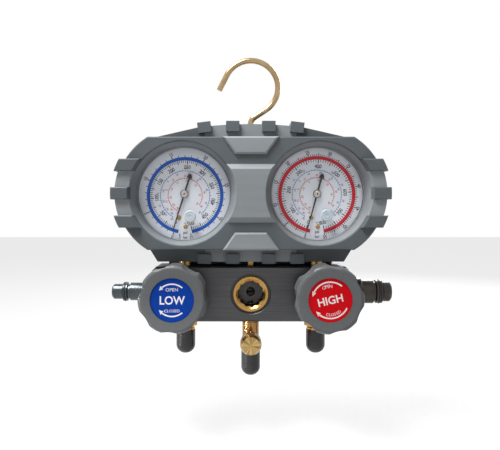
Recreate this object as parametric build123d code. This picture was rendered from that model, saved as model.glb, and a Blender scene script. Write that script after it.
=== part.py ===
from build123d import *
import math
import os

# Two-valve refrigerant manifold gauge: a bar with a LOW and a HIGH valve, a sight glass, three
# quarter-inch flare ports and two hose parking posts, and above it a moulded housing with two
# Bourdon gauges and a swivel hook.
# Millimetres. +X is the user's right, -Y faces the user, +Z is up. The origin is the underside
# of the hook's bend, where the set hangs from its peg. Every solid is written at rest: both
# valves shut, both needles on zero, all caps on.

# ---- driving dimensions -----------------------------------------------------------------
SIDES = {"low": -1, "high": 1}          # each side's name and the sign of its X

BAR_LENGTH, BAR_DEPTH, BAR_HEIGHT = 137.0, 28.0, 38.0
BAR_Z = -163.0                          # mid height of the bar
BAR_TOP, BAR_FLOOR = BAR_Z + BAR_HEIGHT / 2, BAR_Z - BAR_HEIGHT / 2
BAR_FRONT = -BAR_DEPTH / 2
BAR_CORNER, BAR_EDGE = 3.0, 0.9         # end corner cut, and the broken edge of the front face

GAUGE_X, GAUGE_Z = 46.3, -93.6          # gauge axes; the lower ports sit under the gauges
VALVE_X = 51.0                          # valve axes
FIT = 0.05                              # radial clearance of a running fit
PIPE_R, PIPE_DEPTH = 4.85, 8.0          # tapped holes for gauge sockets and ports
PASSAGE_R = 2.0
FLARE_R = 5.55                          # 7/16-20 thread of a quarter-inch flare
ORIFICE_R = 2.4

# Housing: depths are distances along Y, heights are counted from the gauge axes.
SKIN_FRONT, SHELL_FRONT, STEP_Y, COVER_Y, COVER_BACK = -24.0, -22.0, -14.0, 12.0, 15.0
LOBE_R, LOBE_HALF = 44.8, 38.2          # round ends, and the flat top and bottom
SKIN, WALL = 1.5, 2.5                   # dark overmould and light shell thickness
ARCH_CROWN, ARCH_SHOULDER, SHOULDER_X = 48.1, 46.0, 35.7
FLANGE_FOOT, FLANGE_FOOT_X = -46.9, 64.3
LIP_X, LIP_GAP = 60.0, 0.1              # lower lip of the rear cover, and its gap over the bar
LIGHT_HALF = 31.5                       # half width of the light plates at arch and flange
POCKET_R, POCKET_FRONT, CUP_WALL = 35.1, -13.5, 2.0
FUNNEL_BACK_R, FUNNEL_SLOPE = 32.4, 0.32
BAND_HALF, BAND_TOP_HALF, BAND_FRONT = 19.7, 16.2, -26.6
TRAPEZE_FRONT, TRAPEZE_WIDE, TRAPEZE_NARROW, TRAPEZE_INNER = -26.2, 19.0, 10.7, 26.4
LUG_FRONT, LUG_R, LUG_HEIGHT, LUG_PITCH = -27.0, 48.0, 8.2, 19.0
PLATE_R, PLATE_FRONT = 45.4, -24.8      # light plates between the side lugs
RIM_LUGS = (12.4, 31.9)                 # X of the lugs on arch and flange, both sides
RIM_LUG_WIDTH, RIM_LUG_FRONT = 9.2, -17.0
COVER_SCREW_SPOTS = [(69.0, 33.0), (69.0, -33.0), (-69.0, 33.0), (-69.0, -33.0), (0, 41.0), (0, -40.0)]

# Gauge: depths along Y
CASE_R, CASE_BACK, CASE_FRONT, LENS_FRONT = 34.8, 11.5, -9.8, -13.4
DIAL_R, DIAL_FRONT, DIAL_THICK = 32.2, -8.5, 0.6
NEEDLE_Y, NEEDLE_THICK, NEEDLE_TIP, NEEDLE_TAIL = -10.2, 0.4, 28.6, 14.4
ZERO_ANGLE = {"low": 17.4, "high": 15.3}    # needle at rest, degrees clockwise from straight down
PLUG_ANGLE = {"low": -74.6, "high": -67.5}  # calibration plug in the lens
PLUG_R, PLUG_ORBIT = 4.15, 16.2
DIAL_SCREWS = [(-4.0, -16.5), (0.7, -23.0)]
TUBE_R, TUBE_WALL_R, TUBE_WIDTH = 25.5, 1.1, 8.0
TUBE_END = -24.0                            # angle of the Bourdon tube's closed end
SOCKET, SOCKET_TOP, NECK = 12.0, -26.8, 4.2 # brass socket: square, top from the axis, round neck below
MODULE, PINION_TEETH, SECTOR_TEETH = 0.25, 15, 120
SECTOR_DROP = MODULE * (PINION_TEETH + SECTOR_TEETH) / 2
SECTOR_FROM, SECTOR_COUNT = 43.5, 18        # first tooth's angle and how many are cut
TAIL_ARM, TAIL_ANGLE = 5.0, -110.8
ARBOR_R, PLATE_Y = 0.5, (-4.5, 2.9)         # movement plates' middle depths

# Valves
KNOB_R, KNOB_BACK, KNOB_FRONT, KNOB_FLUTES = 22.6, -22.0, -41.0, 7
FLUTE_R, FLUTE_DEPTH = 16.0, 2.0
FLUTE_TURN = {"low": 8.4, "high": 26.6}     # angle of the first flute
LABEL_R, LABEL_RECESS, LABEL_THICK = 14.2, 1.0, 0.5
BONNET_R, BONNET_INNER, BONNET_OUTER, BONNET_FLATS = 8.0, -8.0, -20.0, 17.0
STEM_R, SEAT_Y, CHAMBER_R, STEM_TIP = 3.0, 2.0, 5.0, -36.0
GALLERY_Y = SEAT_Y + 5.0                    # the gallery runs behind the valve seats

# Sight glass, ports, posts, hook
RING_R, RING_WINDOW_R, RING_POINTS, RING_FRONT = 12.4, 9.4, 13, -13.7
RECESS_R, RECESS_Y, GLASS_Y, GLASS_BACK = 13.6, -11.5, -9.0, -5.0
RECESS_EDGE, VIEW_R, EYE_R = 0.5, 8.0, 3.2   # its broken edge, the glass's view and the hole behind
PORT_TIP, CAP_R, CAP_TOP, CAP_LENGTH, CAP_DOME = -203.0, 6.75, -189.8, 16.8, 6.2
TEE_R, TEE_DROP, BRANCH_Z = 5.9, 15.8, -196.0
WIRE_R, BEND_R = 2.0, 19.3
MOUTH, LEG, TIP_RUN = 153.0, -57.2, 12.0     # where the bend ends, degrees, and the straight tip
SHANK_FOOT = BAR_TOP - 9.0


# ---- how outlines become solids ---------------------------------------------------------
def front_plane(y):
    """Drawing plane facing the user at depth y: its x and y are the part's X and Z."""
    return Plane(origin=(0, y, 0), x_dir=(1, 0, 0), z_dir=(0, -1, 0))


def slab(outline, back, front):
    """An outline drawn in X and Z, as thick as the distance between two depths."""
    return extrude(front_plane(back) * outline, amount=back - front)


def disc(radius, x, z, back, front):
    """A round slab about an axis that runs from back to front."""
    return slab(Pos(x, z) * Circle(radius), back, front)


def turned(corners, at, facing):
    """A turned piece: corners are (radius, station), and stations grow along facing."""
    lay = {"up": (0, 0, 0), "front": (90, 0, 0), "back": (-90, 0, 0), "right": (0, 90, 0), "left": (0, -90, 0)}
    profile = make_face(Plane.XZ * Polyline(*corners, close=True))
    return Pos(*at) * Rot(*lay[facing]) * revolve(profile, Axis.Z)


def hexagon(across_flats):
    return RegularPolygon(across_flats / 2, 6, major_radius=False)


def box_between(low, high):
    """A block given by its lowest and highest corners."""
    size = [b - a for a, b in zip(low, high)]
    return Pos(*low) * Box(*size, align=(Align.MIN, Align.MIN, Align.MIN))


# ---- bar and its drillings --------------------------------------------------------------
def manifold_bar():
    """Extruded aluminium bar: two valve chambers, a rear gallery, sight glass bore, tapped holes."""
    outline = Pos(0, BAR_Z) * Rectangle(BAR_LENGTH, BAR_HEIGHT)
    bar = slab(chamfer(outline.vertices(), BAR_CORNER), -BAR_FRONT, BAR_FRONT)
    bar = chamfer(bar.faces().sort_by(Axis.Y)[0].edges(), BAR_EDGE)
    for sign in SIDES.values():
        x = sign * VALVE_X
        bar -= disc(BONNET_R, x, BAR_Z, BONNET_INNER, BAR_FRONT)
        bar -= disc(CHAMBER_R, x, BAR_Z, SEAT_Y, BAR_FRONT)
        bar -= disc(ORIFICE_R, x, BAR_Z, GALLERY_Y, BAR_FRONT)
        column = turned([(0, BAR_FLOOR), (PIPE_R, BAR_FLOOR), (PIPE_R, BAR_FLOOR + PIPE_DEPTH),
                         (PASSAGE_R, BAR_FLOOR + PIPE_DEPTH), (PASSAGE_R, BAR_TOP - PIPE_DEPTH),
                         (PIPE_R, BAR_TOP - PIPE_DEPTH), (PIPE_R, BAR_TOP), (0, BAR_TOP)],
                        (sign * GAUGE_X, 0, 0), "up")
        bar -= column
        post_hole = [(0, 0), (PIPE_R, 0), (PIPE_R, -PIPE_DEPTH), (0, -PIPE_DEPTH)]
        bar -= turned(post_hole, (sign * BAR_LENGTH / 2, 0, BAR_Z), "right" if sign > 0 else "left")
    gallery = [(0, -VALVE_X), (PASSAGE_R, -VALVE_X), (PASSAGE_R, VALVE_X), (0, VALVE_X)]
    bar -= turned(gallery, (0, GALLERY_Y, BAR_Z), "right")
    bar -= turned([(0, -RECESS_Y), (RECESS_R, -RECESS_Y), (RECESS_R, -BAR_FRONT - RECESS_EDGE),
                   (RECESS_R + RECESS_EDGE, -BAR_FRONT), (0, -BAR_FRONT)], (0, 0, BAR_Z), "front")
    bar -= disc(RING_R + FIT, 0, BAR_Z, GLASS_BACK + 1.0, BAR_FRONT)
    bar -= disc(VIEW_R, 0, BAR_Z, -1.0, BAR_FRONT)
    bar -= disc(EYE_R, 0, BAR_Z, GALLERY_Y, BAR_FRONT)
    bar -= turned([(0, BAR_FLOOR), (PIPE_R, BAR_FLOOR), (PIPE_R, BAR_FLOOR + PIPE_DEPTH),
                   (PASSAGE_R, BAR_FLOOR + PIPE_DEPTH), (PASSAGE_R, BAR_Z - 6.0), (0, BAR_Z - 6.0)],
                  (0, 0, 0), "up")
    bar -= turned([(0, SHANK_FOOT - 1.0), (WIRE_R + FIT, SHANK_FOOT - 1.0), (WIRE_R + FIT, BAR_TOP), (0, BAR_TOP)],
                  (0, 0, 0), "up")
    return bar


# ---- housing ----------------------------------------------------------------------------
def lobes(radius, half_height):
    """Front outline: two round ends about the gauge axes, cut flat above and below."""
    ends = Pos(-GAUGE_X, GAUGE_Z) * Circle(radius) + Pos(GAUGE_X, GAUGE_Z) * Circle(radius)
    middle = Pos(0, GAUGE_Z) * Rectangle(2 * GAUGE_X, 2 * radius)
    return (ends + middle) & Pos(0, GAUGE_Z) * Rectangle(4 * GAUGE_X, 2 * half_height)


def arch_and_flange():
    """Rear outline: the front outline with the arch on top and the sloping flange below."""
    corner_x = GAUGE_X + math.sqrt(LOBE_R**2 - LOBE_HALF**2)
    crown = ThreePointArc((-SHOULDER_X, ARCH_SHOULDER), (0, ARCH_CROWN), (SHOULDER_X, ARCH_SHOULDER))
    sides = Polyline((SHOULDER_X, ARCH_SHOULDER), (corner_x, LOBE_HALF), (corner_x, 0), (-corner_x, 0),
                     (-corner_x, LOBE_HALF), (-SHOULDER_X, ARCH_SHOULDER))
    arch = Pos(0, GAUGE_Z) * make_face(Curve() + [crown, sides])
    flange = Pos(0, GAUGE_Z) * Polygon((-corner_x, 0), (-corner_x, -LOBE_HALF), (-FLANGE_FOOT_X, FLANGE_FOOT),
                                       (FLANGE_FOOT_X, FLANGE_FOOT), (corner_x, -LOBE_HALF), (corner_x, 0),
                                       align=None)
    return lobes(LOBE_R, LOBE_HALF) + arch + flange


def funnel(sign):
    """The cone through which a dial is seen, widening towards the user."""
    front_y = LUG_FRONT - 1.0
    front_r = FUNNEL_BACK_R + (POCKET_FRONT - front_y) * FUNNEL_SLOPE
    corners = [(0, -POCKET_FRONT - 0.5), (FUNNEL_BACK_R, -POCKET_FRONT - 0.5), (FUNNEL_BACK_R, -POCKET_FRONT),
               (front_r, -front_y), (0, -front_y)]
    return turned(corners, (sign * GAUGE_X, 0, GAUGE_Z), "front")


def raised_band():
    """Light bar between the gauges, bevelled above and below; the funnels hollow its ends."""
    profile = Polygon((SHELL_FRONT, BAND_HALF), (SKIN_FRONT, BAND_HALF), (BAND_FRONT, BAND_TOP_HALF),
                      (BAND_FRONT, -BAND_TOP_HALF), (SKIN_FRONT, -BAND_HALF), (SHELL_FRONT, -BAND_HALF), align=None)
    side_plane = Plane(origin=(-25, 0, GAUGE_Z), x_dir=(0, 1, 0), z_dir=(1, 0, 0))
    return extrude(side_plane * profile, amount=50)


def trapeze(up):
    """Light raised panel above or below the band, wide at the housing's edge."""
    wide, narrow = up * TRAPEZE_WIDE, up * TRAPEZE_NARROW
    outline = Pos(0, GAUGE_Z) * Polygon((wide, up * LOBE_HALF), (-wide, up * LOBE_HALF),
                                        (-narrow, up * TRAPEZE_INNER), (narrow, up * TRAPEZE_INNER), align=None)
    panel = slab(outline, SHELL_FRONT, TRAPEZE_FRONT)
    return chamfer(panel.faces().sort_by(Axis.Y)[0].edges(), 1.2)


def side_bands(radius, centres, height, front):
    """Blocks round the outer ends of the housing, one for each height."""
    blocks = []
    for sign in SIDES.values():
        ring = Pos(sign * GAUGE_X, GAUGE_Z) * Circle(radius)
        for centre in centres:
            reach = Pos(sign * (GAUGE_X + 40), GAUGE_Z + centre) * Rectangle(56, height)
            blocks.append(slab(ring & reach, COVER_Y, front))
    return blocks


def light_blank():
    """Everything the light first shot of the housing fills, before it is hollowed."""
    blank = slab(offset(lobes(LOBE_R, LOBE_HALF), amount=-SKIN), COVER_Y, SHELL_FRONT)
    middle = Pos(0, GAUGE_Z) * Rectangle(2 * LIGHT_HALF, 2 * ARCH_CROWN + 20)
    blank += slab(arch_and_flange() & middle, COVER_Y, STEP_Y)
    blank += raised_band()
    blank += trapeze(1)
    blank += trapeze(-1)
    plate_centres = (LUG_PITCH / 2, -LUG_PITCH / 2)
    for plate in side_bands(PLATE_R, plate_centres, LUG_PITCH - LUG_HEIGHT, PLATE_FRONT):
        blank += plate
    return blank


def hook_and_socket_ways():
    """Passages through arch and flange for the hook's shank and the two gauge sockets."""
    ways = [turned([(0, -150), (WIRE_R + 0.5, -150), (WIRE_R + 0.5, -40), (0, -40)], (0, 0, 0), "up")]
    for sign in SIDES.values():
        half = SOCKET / 2 + 0.5
        x = sign * GAUGE_X
        ways.append(box_between((x - half, -half, -150), (x + half, COVER_Y, GAUGE_Z - 20)))
    return ways


def boot_shell():
    """Light hard shell of the housing: outer wall, gauge cups, screw bosses, raised panels."""
    shell = light_blank()
    inner = offset(lobes(LOBE_R, LOBE_HALF), amount=-SKIN - WALL)
    shell -= slab(inner, COVER_Y, SHELL_FRONT + WALL)
    cups = []
    for sign in SIDES.values():
        cups.append(disc(POCKET_R + CUP_WALL, sign * GAUGE_X, GAUGE_Z, COVER_Y, SHELL_FRONT + WALL / 2))
    bosses = [disc(3.0, x, GAUGE_Z + z, COVER_Y, 4.0 if x == 0 else -19.0) for x, z in COVER_SCREW_SPOTS]
    for piece in cups + bosses:
        shell += piece
    for sign in SIDES.values():
        shell -= disc(POCKET_R, sign * GAUGE_X, GAUGE_Z, COVER_Y, POCKET_FRONT)
        shell -= funnel(sign)
    for x, z in COVER_SCREW_SPOTS:
        shell -= disc(1.5, x, GAUGE_Z + z, COVER_Y, 4.5)
    for way in hook_and_socket_ways():
        shell -= way
    return shell


def boot_overmould():
    """Dark second shot: front panel, wings, flange ends and the grip lugs all round."""
    skin = slab(lobes(LOBE_R, LOBE_HALF), COVER_Y, SKIN_FRONT)
    skin = chamfer(skin.faces().sort_by(Axis.Y)[0].edges(), 0.8)
    skin += slab(arch_and_flange(), COVER_Y, STEP_Y)
    for lug in side_bands(LUG_R, (LUG_PITCH, 0, -LUG_PITCH), LUG_HEIGHT, LUG_FRONT):
        skin += chamfer(lug.faces().sort_by(Axis.Y)[0].edges(), 0.6)
    for x in RIM_LUGS:
        for sign in (1, -1):
            tilt = -sign * 7.0 if x > SHOULDER_X / 2 else 0
            top = Pos(sign * x, GAUGE_Z + (45.6 if tilt else 46.3)) * Rot(0, 0, tilt) * Rectangle(RIM_LUG_WIDTH, 7.2)
            foot = Pos(sign * x, GAUGE_Z - 44.8) * Rectangle(RIM_LUG_WIDTH, 6.6)
            for outline in (top, foot):
                skin += slab(outline, COVER_Y, RIM_LUG_FRONT)
    skin -= light_blank()
    for sign in SIDES.values():
        skin -= funnel(sign)
        skin -= disc(POCKET_R + CUP_WALL, sign * GAUGE_X, GAUGE_Z, COVER_Y, SHELL_FRONT)
    for way in hook_and_socket_ways():
        skin -= way
    return skin


def rear_cover():
    """Dark cover that closes the gauge cups from behind, stepped at its rim, with screw holes."""
    outline = arch_and_flange()
    cover = slab(outline, COVER_BACK - 1.0, COVER_Y) + slab(offset(outline, amount=-1.5), COVER_BACK, COVER_BACK - 1.0)
    cover += box_between((-LIP_X, COVER_Y, BAR_TOP + LIP_GAP), (LIP_X, COVER_BACK - 1.0, GAUGE_Z + FLANGE_FOOT + 1.0))
    for x, z in COVER_SCREW_SPOTS:
        cover -= turned([(0, 0), (3.2, 0), (1.7, -1.6), (1.7, -4), (0, -4)], (x, COVER_BACK, GAUGE_Z + z), "back")
    return cover


def cover_screws():
    """Countersunk self-tapping screws, heads just below the cover's face."""
    corners = [(0, -0.2), (3.0, -0.2), (1.45, -1.75), (1.45, -9.0), (0, -10.0)]
    return [turned(corners, (x, COVER_BACK, GAUGE_Z + z), "back") for x, z in COVER_SCREW_SPOTS]


# ---- gauges -----------------------------------------------------------------------------
def gauge_case(x):
    """Pressed steel can, open at the front, with a slot for the socket."""
    corners = [(0, -CASE_BACK), (CASE_R - 1.5, -CASE_BACK), (CASE_R, -CASE_BACK + 1.5), (CASE_R, -CASE_FRONT),
               (CASE_R - 1.2, -CASE_FRONT), (CASE_R - 1.2, -CASE_BACK + 1.2), (0, -CASE_BACK + 1.2)]
    case = turned(corners, (x, 0, GAUGE_Z), "front")
    half = SOCKET / 2 + 0.05
    return case - box_between((x - half, -half, GAUGE_Z - 40), (x + half, half, GAUGE_Z - 30))


def gauge_socket(x):
    """Brass socket: a square stem through the case with a tapered thread into the bar."""
    half = SOCKET / 2
    stem = box_between((x - half, -half, BAR_TOP + NECK), (x + half, half, GAUGE_Z + SOCKET_TOP))
    stem += turned([(0, BAR_TOP - 7.5), (4.2, BAR_TOP - 7.5), (PIPE_R - FIT, BAR_TOP - 6.5),
                    (PIPE_R - FIT, BAR_TOP + NECK + 0.1), (0, BAR_TOP + NECK + 0.1)], (x, 0, 0), "up")
    return stem - turned([(0, -160), (1.2, -160), (1.2, GAUGE_Z - 29), (0, GAUGE_Z - 29)], (x, 0, 0), "up")


def bourdon_tube(x):
    """Flattened C-shaped tube from the socket round to its closed end, with the link's lug."""
    ring = Pos(x, GAUGE_Z) * (Circle(TUBE_R + TUBE_WALL_R) - Circle(TUBE_R - TUBE_WALL_R))
    gap_to = math.radians(TUBE_END)
    gap = Pos(x, GAUGE_Z) * Polygon((0, 0), (-1.0, -60), (60, -60), (60, 60 * math.tan(gap_to)), align=None)
    tube = slab(ring - gap, TUBE_WIDTH / 2, -TUBE_WIDTH / 2)
    root = box_between((x - 5, -TUBE_WIDTH / 2, GAUGE_Z + SOCKET_TOP), (x - 1, TUBE_WIDTH / 2, GAUGE_Z - 24.1))
    end = Pos(x, GAUGE_Z) * Rot(0, 0, TUBE_END - 3.0) * Pos(TUBE_R, 0) * Rectangle(4.4, 6.0)
    return tube + root + slab(end, TUBE_WIDTH / 2, -0.4)


def movement_frame(x):
    """Two brass plates with pillars, standing on the socket; pivot holes for both arbors."""
    plate = Pos(x, GAUGE_Z) * (Pos(0, -10.85) * Rectangle(11, 26.2) + Pos(0, 2.2) * Circle(5.5))
    plate -= Pos(x, GAUGE_Z) * Circle(ARBOR_R + FIT)
    plate -= Pos(x, GAUGE_Z - SECTOR_DROP) * Circle(ARBOR_R + FIT)
    frame = None
    for y in PLATE_Y:
        leaf = slab(plate, y + 0.4, y - 0.4)
        frame = leaf if frame is None else frame + leaf
    for dx, dz in ((-4.2, 3.0), (4.2, 3.0)):
        frame += disc(1.0, x + dx, GAUGE_Z + dz, PLATE_Y[1], PLATE_Y[0])
    for dx, dz in DIAL_SCREWS:
        frame += disc(1.6, x + dx, GAUGE_Z + dz, PLATE_Y[0], DIAL_FRONT + 0.6) - disc(
            0.75, x + dx, GAUGE_Z + dz, PLATE_Y[0] - 0.5, DIAL_FRONT)
    return frame + box_between((x + 1.5, PLATE_Y[0], GAUGE_Z + SOCKET_TOP), (x + 5.5, PLATE_Y[1], GAUGE_Z - 23.9))


def tooth_flank(teeth, radius, backlash=0.03):
    """Half the angle that a tooth fills at a radius, on an involute of 20 degrees."""
    pitch_r = MODULE * teeth / 2
    base_r = pitch_r * math.cos(math.radians(20))
    roll = math.sqrt(max(radius / base_r, 1.0) ** 2 - 1)
    pitch_roll = math.tan(math.radians(20))
    spread = (pitch_roll - math.atan(pitch_roll)) - (roll - math.atan(roll))
    return math.pi / (2 * teeth) - backlash / (2 * pitch_r) + spread


def tooth_row(teeth, first, count):
    """Corners of a run of teeth, each from root to tip and back, angles in degrees from +X."""
    pitch_r = MODULE * teeth / 2
    radii = (pitch_r - 1.25 * MODULE, pitch_r - 0.3 * MODULE, pitch_r + 0.3 * MODULE, pitch_r + 0.85 * MODULE)
    corners = []
    for k in range(count):
        middle = math.radians(first + 360 * k / teeth)
        rising = [(r, middle - tooth_flank(teeth, r)) for r in radii]
        falling = [(r, middle + tooth_flank(teeth, r)) for r in reversed(radii)]
        corners += [(r * math.cos(a), r * math.sin(a)) for r, a in rising + falling]
    return corners


def pinion(x):
    """Steel arbor with its toothed pinion and, in front of the dial, the needle's bright boss."""
    turn = 90 + 180 / PINION_TEETH
    teeth = Pos(x, GAUGE_Z) * Polygon(*tooth_row(PINION_TEETH, turn, PINION_TEETH), align=None)
    corners = [(0, -3.2), (ARBOR_R, -3.2), (ARBOR_R, 10.5), (2.4, 10.5), (2.4, 10.9), (1.6, 11.2), (0, 11.2)]
    return turned(corners, (x, 0, GAUGE_Z), "front") + slab(teeth, 1.6, -1.6)


def sector_gear(x):
    """Brass toothed sector on its own arbor, with the short tail that the link pulls."""
    rim = tooth_row(SECTOR_TEETH, SECTOR_FROM, SECTOR_COUNT)
    outline = Polygon((0, -1.0), *rim, (-1.2, 0), align=None) + Circle(1.8)
    tail = math.radians(TAIL_ANGLE)
    pin = (TAIL_ARM * math.cos(tail), TAIL_ARM * math.sin(tail))
    outline += SlotCenterToCenter(TAIL_ARM, 2.4).moved(Location((pin[0] / 2, pin[1] / 2, 0), (0, 0, TAIL_ANGLE)))
    outline -= Pos(*pin) * Circle(0.6)
    window = Rot(0, 0, SECTOR_FROM + 27) * Pos(8.4, 0) * Trapezoid(6.0, 4.5, 70, rotation=90)
    plate = slab(Pos(x, GAUGE_Z - SECTOR_DROP) * (outline - window), 0.5, -0.5)
    corners = [(0, -3.2), (ARBOR_R, -3.2), (ARBOR_R, 4.7), (0, 4.7)]
    return plate + turned(corners, (x, 0, GAUGE_Z - SECTOR_DROP), "front")


def link(x):
    """Thin steel link from the sector's tail to the tube's closed end, with its tail pin."""
    tail, end = math.radians(TAIL_ANGLE), math.radians(TUBE_END - 6.0)
    start = (TAIL_ARM * math.cos(tail), TAIL_ARM * math.sin(tail) - SECTOR_DROP)
    finish = (TUBE_R * math.cos(end), TUBE_R * math.sin(end))
    run = math.dist(start, finish)
    middle = ((start[0] + finish[0]) / 2, (start[1] + finish[1]) / 2)
    slope = math.degrees(math.atan2(finish[1] - start[1], finish[0] - start[0]))
    bar = SlotCenterToCenter(run, 2.0).moved(Location((x + middle[0], GAUGE_Z + middle[1], 0), (0, 0, slope)))
    return slab(bar, -0.6, -1.1) + disc(0.55, x + start[0], GAUGE_Z + start[1], 0.9, -0.7)


def dial(x):
    """Printed aluminium dial plate with the arbor hole and two screw holes."""
    plate = Pos(x, GAUGE_Z) * (Circle(DIAL_R) - Circle(1.2))
    for dx, dz in DIAL_SCREWS:
        plate -= Pos(x + dx, GAUGE_Z + dz) * Circle(0.8)
    return slab(plate, DIAL_FRONT + DIAL_THICK, DIAL_FRONT)


def dial_screws():
    """Two brass screws for each dial, into the movement's front plate."""
    corners = [(0, -3.4), (0.7, -3.4), (0.7, 0.01), (1.5, 0.01), (1.5, 0.5), (1.2, 0.8), (0, 0.8)]
    return [turned(corners, (sign * GAUGE_X + dx, DIAL_FRONT, GAUGE_Z + dz), "front")
            for sign in SIDES.values() for dx, dz in DIAL_SCREWS]


def needle(x, name):
    """Flat black pointer with a mushroom tail on a round boss, at its zero."""
    half = [(0.42, -NEEDLE_TIP), (1.0, -2), (0.95, 11.8), (1.95, 11.0), (1.55, NEEDLE_TAIL - 1.2),
            (0.6, NEEDLE_TAIL)]
    pointer = Polygon(*half, *[(-wide, up) for wide, up in reversed(half)], align=None)
    outline = Rot(0, 0, -ZERO_ANGLE[name]) * (pointer + Circle(2.8)) - Circle(ARBOR_R + 0.02)
    return slab(Pos(x, GAUGE_Z) * outline, NEEDLE_Y + NEEDLE_THICK / 2, NEEDLE_Y - NEEDLE_THICK / 2)


def plug_spot(x, name):
    """Where the calibration plug sits in the lens."""
    angle = math.radians(PLUG_ANGLE[name])
    return x + PLUG_ORBIT * math.cos(angle), GAUGE_Z + PLUG_ORBIT * math.sin(angle)


def lens(x, name):
    """Clear screw-on lens: a window with a skirt that meets the case, and the plug's hole."""
    corners = [(0, 11.7), (32.8, 11.7), (32.8, -CASE_FRONT), (CASE_R, -CASE_FRONT), (CASE_R, 12.8),
               (CASE_R - 0.6, -LENS_FRONT), (0, -LENS_FRONT)]
    px, pz = plug_spot(x, name)
    return turned(corners, (x, 0, GAUGE_Z), "front") - disc(PLUG_R - 0.9, px, pz, -11, -14)


def lens_plug(x, name):
    """Milky push-in plug over the pointer adjustment."""
    px, pz = plug_spot(x, name)
    corners = [(0, 11.9), (PLUG_R - 0.95, 11.9), (PLUG_R - 0.95, 13.42), (PLUG_R, 13.42), (PLUG_R, 13.8),
               (PLUG_R - 0.4, 14.1), (2.0, 14.1), (1.8, 13.9), (0, 13.9)]
    return turned(corners, (px, 0, pz), "front")


# ---- valves -----------------------------------------------------------------------------
def knob(x, name):
    """Fluted hand wheel: rounded rim, label recess in front, hub and skirt behind."""
    wheel = disc(KNOB_R, x, BAR_Z, KNOB_BACK, KNOB_FRONT)
    wheel = fillet(wheel.faces().sort_by(Axis.Y)[0].edges(), 3.2)
    wheel = fillet(wheel.faces().sort_by(Axis.Y)[-1].edges(), 1.2)
    for k in range(KNOB_FLUTES):
        angle = math.radians(FLUTE_TURN[name] + 360 * k / KNOB_FLUTES)
        reach = KNOB_R + FLUTE_R - FLUTE_DEPTH
        wheel -= disc(FLUTE_R, x + reach * math.cos(angle), BAR_Z + reach * math.sin(angle), KNOB_BACK, KNOB_FRONT)
    wheel -= disc(LABEL_R + 0.1, x, BAR_Z, KNOB_FRONT + LABEL_RECESS, KNOB_FRONT)
    hollow = disc(17.5, x, BAR_Z, KNOB_BACK, KNOB_BACK - 12) - disc(7.0, x, BAR_Z, KNOB_BACK, KNOB_BACK - 12)
    wheel -= hollow
    wheel -= disc(STEM_R + FIT, x, BAR_Z, KNOB_BACK, STEM_TIP)
    wheel -= disc(2.1, x, BAR_Z, KNOB_BACK, KNOB_FRONT)
    return wheel - disc(3.8, x, BAR_Z, KNOB_FRONT + LABEL_RECESS + 2.2, KNOB_FRONT)


def knob_label(x):
    return disc(LABEL_R, x, BAR_Z, KNOB_FRONT + LABEL_RECESS, KNOB_FRONT + LABEL_RECESS - LABEL_THICK)


def knob_screw(x):
    """Pan-head screw under the label that holds the wheel on its stem."""
    head = -(KNOB_FRONT + LABEL_RECESS)
    corners = [(0, head - 12), (1.6, head - 12), (1.6, head - 2.2), (3.6, head - 2.2), (3.6, head - 0.6),
               (3.0, head - 0.1), (0, head - 0.1)]
    return turned(corners, (x, 0, BAR_Z), "front")


def valve_stem(x):
    """Steel stem: collar and seat socket inside the chamber, thread through the bonnet."""
    corners = [(0, -0.6), (1.3, -0.6), (1.3, -1.0), (4.2, -1.0), (4.2, 2.4), (STEM_R, 2.4), (STEM_R, -STEM_TIP),
               (1.65, -STEM_TIP), (1.65, 27.5), (0, 27.5)]
    stem = turned(corners, (x, 0, BAR_Z), "front")
    return stem - turned([(0, -1.5), (1.45, -1.5), (1.45, 1.0), (0, 1.0)], (x, 0, BAR_Z), "front")


def valve_seat(x):
    """Soft seat disc on a shank that lets it slide without turning with the stem."""
    corners = [(0, -SEAT_Y + 0.1), (3.9, -SEAT_Y + 0.1), (3.9, -1.1), (1.4, -1.1), (1.4, 0.9), (0, 0.9)]
    return turned(corners, (x, 0, BAR_Z), "front")


def bonnet(x):
    """Brass packing nut: threaded spigot in the bar and a hexagon round the stem."""
    nut = slab(Pos(x, BAR_Z) * hexagon(BONNET_FLATS), BAR_FRONT, BONNET_OUTER + 2.0)
    nut += disc(6.6, x, BAR_Z, BAR_FRONT, BONNET_OUTER)
    nut += disc(BONNET_R, x, BAR_Z, BONNET_INNER, BAR_FRONT)
    return nut - disc(STEM_R + FIT, x, BAR_Z, BONNET_INNER, BONNET_OUTER)


def stem_rings():
    """Rubber rings that seal each stem under its bonnet's lip."""
    rings = []
    for sign in SIDES.values():
        corners = [(STEM_R + FIT, 20.0), (5.4, 20.0), (5.4, 20.9), (4.9, 21.2), (STEM_R + FIT, 21.2)]
        rings.append(turned(corners, (sign * VALVE_X, 0, BAR_Z), "front"))
    return rings


# ---- sight glass ------------------------------------------------------------------------
def sight_ring():
    """Brass retaining ring: a many-pointed window for its spanner, bevelled down to the glass."""
    corners = [(RING_WINDOW_R - 2.0, -GLASS_Y), (RING_R, -GLASS_Y), (RING_R, -RING_FRONT - 0.4),
               (RING_R - 0.4, -RING_FRONT), (RING_WINDOW_R + 0.9, -RING_FRONT), (RING_WINDOW_R - 2.0, -RING_FRONT - 2.4)]
    star = []
    for k in range(2 * RING_POINTS):
        radius, angle = RING_WINDOW_R - 0.9 * (k % 2), math.pi * k / RING_POINTS
        star.append((radius * math.cos(angle), BAR_Z + radius * math.sin(angle)))
    window = slab(Polygon(*star, align=None), GLASS_Y, RING_FRONT)
    return turned(corners, (0, 0, BAR_Z), "front") - window


def sight_glass():
    return disc(RING_R - 0.5, 0, BAR_Z, GLASS_BACK, GLASS_Y)


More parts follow.
